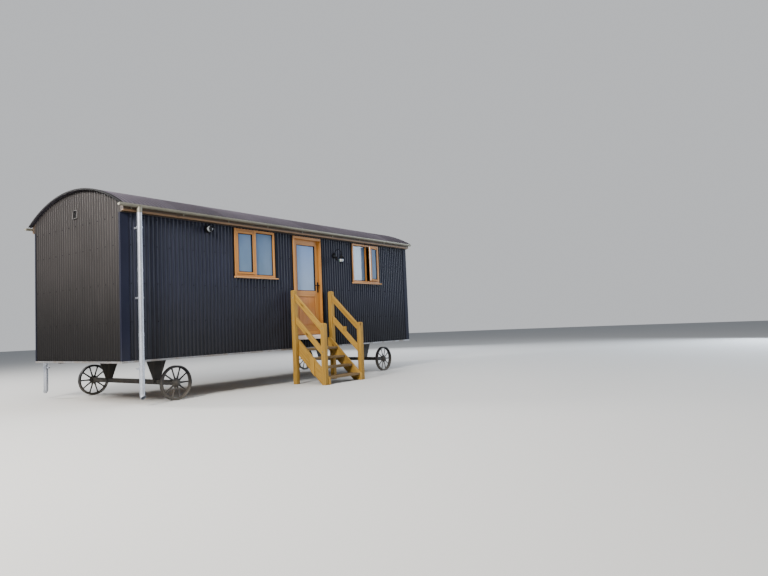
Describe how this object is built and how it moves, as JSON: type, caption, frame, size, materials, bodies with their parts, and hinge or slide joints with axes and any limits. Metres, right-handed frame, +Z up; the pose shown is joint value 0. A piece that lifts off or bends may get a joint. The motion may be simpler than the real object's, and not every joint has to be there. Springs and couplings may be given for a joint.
{
  "type": "shepherds hut",
  "caption": "Wheeled timber hut with corrugated metal skin, bowed roof, glazed swinging door, side windows and timber steps; hollow inside.",
  "frame": {"origin": "middle of the plan box at ground level", "axes": "+X along the hut to the right of someone who faces the door, +Y from the door side to the back, +Z up"},
  "size_m": [7.97, 3.936, 3.5533],
  "materials": {
    "dark_skin": "satin",
    "end_skin": "satin",
    "roof_skin": "satin",
    "black_metal": "satin",
    "pale_metal": "weathered",
    "galvanised": "dull zinc",
    "chassis_steel": "matt",
    "wheel_iron": "painted",
    "wall_lining": "painted boards",
    "floor_boards": "oiled",
    "roof_lining": "painted boards",
    "stained_board": "stained",
    "joinery": "stained satin",
    "threshold": "weathered",
    "step_timber": "treated softwood",
    "clear_glass": "clear",
    "lamp_glass": "frosted"
  },
  "bodies": {
    "root": {"chassis_rails": "chassis_steel", "cross_bars": "chassis_steel", "axles": "chassis_steel", "wheels": "wheel_iron", "floor": "floor_boards", "front_wall_left": "wall_lining", "front_wall_right": "wall_lining", "front_wall_over_door": "wall_lining", "front_wall_under_door": "wall_lining", "back_wall": "wall_lining", "left_end_wall": "wall_lining", "right_end_wall": "wall_lining", "front_cladding": "dark_skin", "back_cladding": "dark_skin", "corner_trims": "dark_skin", "left_end_cladding": "end_skin", "right_end_cladding": "end_skin", "drip_trims": "pale_metal", "reveal_trims": "black_metal", "verge_trims": "black_metal", "lantern": "black_metal", "eaves_lamp": "black_metal", "end_vent": "black_metal", "roof_deck": "roof_lining", "roof_sheets": "roof_skin", "fascia_boards": "stained_board", "gutters": "galvanised", "downpipes": "galvanised", "door_frame": "joinery", "window_frames": "joinery", "window_sashes": "joinery", "window_sills": "joinery", "door_threshold": "threshold", "window_glass": "clear_glass", "lantern_glass": "lamp_glass", "step_posts": "step_timber", "step_stringers": "step_timber", "step_treads": "step_timber", "step_rails": "step_timber"},
    "door": {"door_leaf": "joinery", "door_glass": "clear_glass", "door_panel": "joinery", "door_plates": "black_metal"},
    "lever": {"door_lever": "black_metal"}
  },
  "joints": [
    {"name": "door_swing", "type": "hinge", "parent": "root", "child": "door", "pos_m": [-0.138, -0.9515, 1.95], "axis": [0, 0, 1], "range_deg": [0, 90]},
    {"name": "lever_turn", "type": "hinge", "parent": "door", "child": "lever", "pos_m": [0.5755, -0.974, 1.985], "axis": [0, -1, 0], "range_deg": [0, 35], "stiffness_Nm_per_rad": 2, "springref_deg": -20.05}
  ]
}
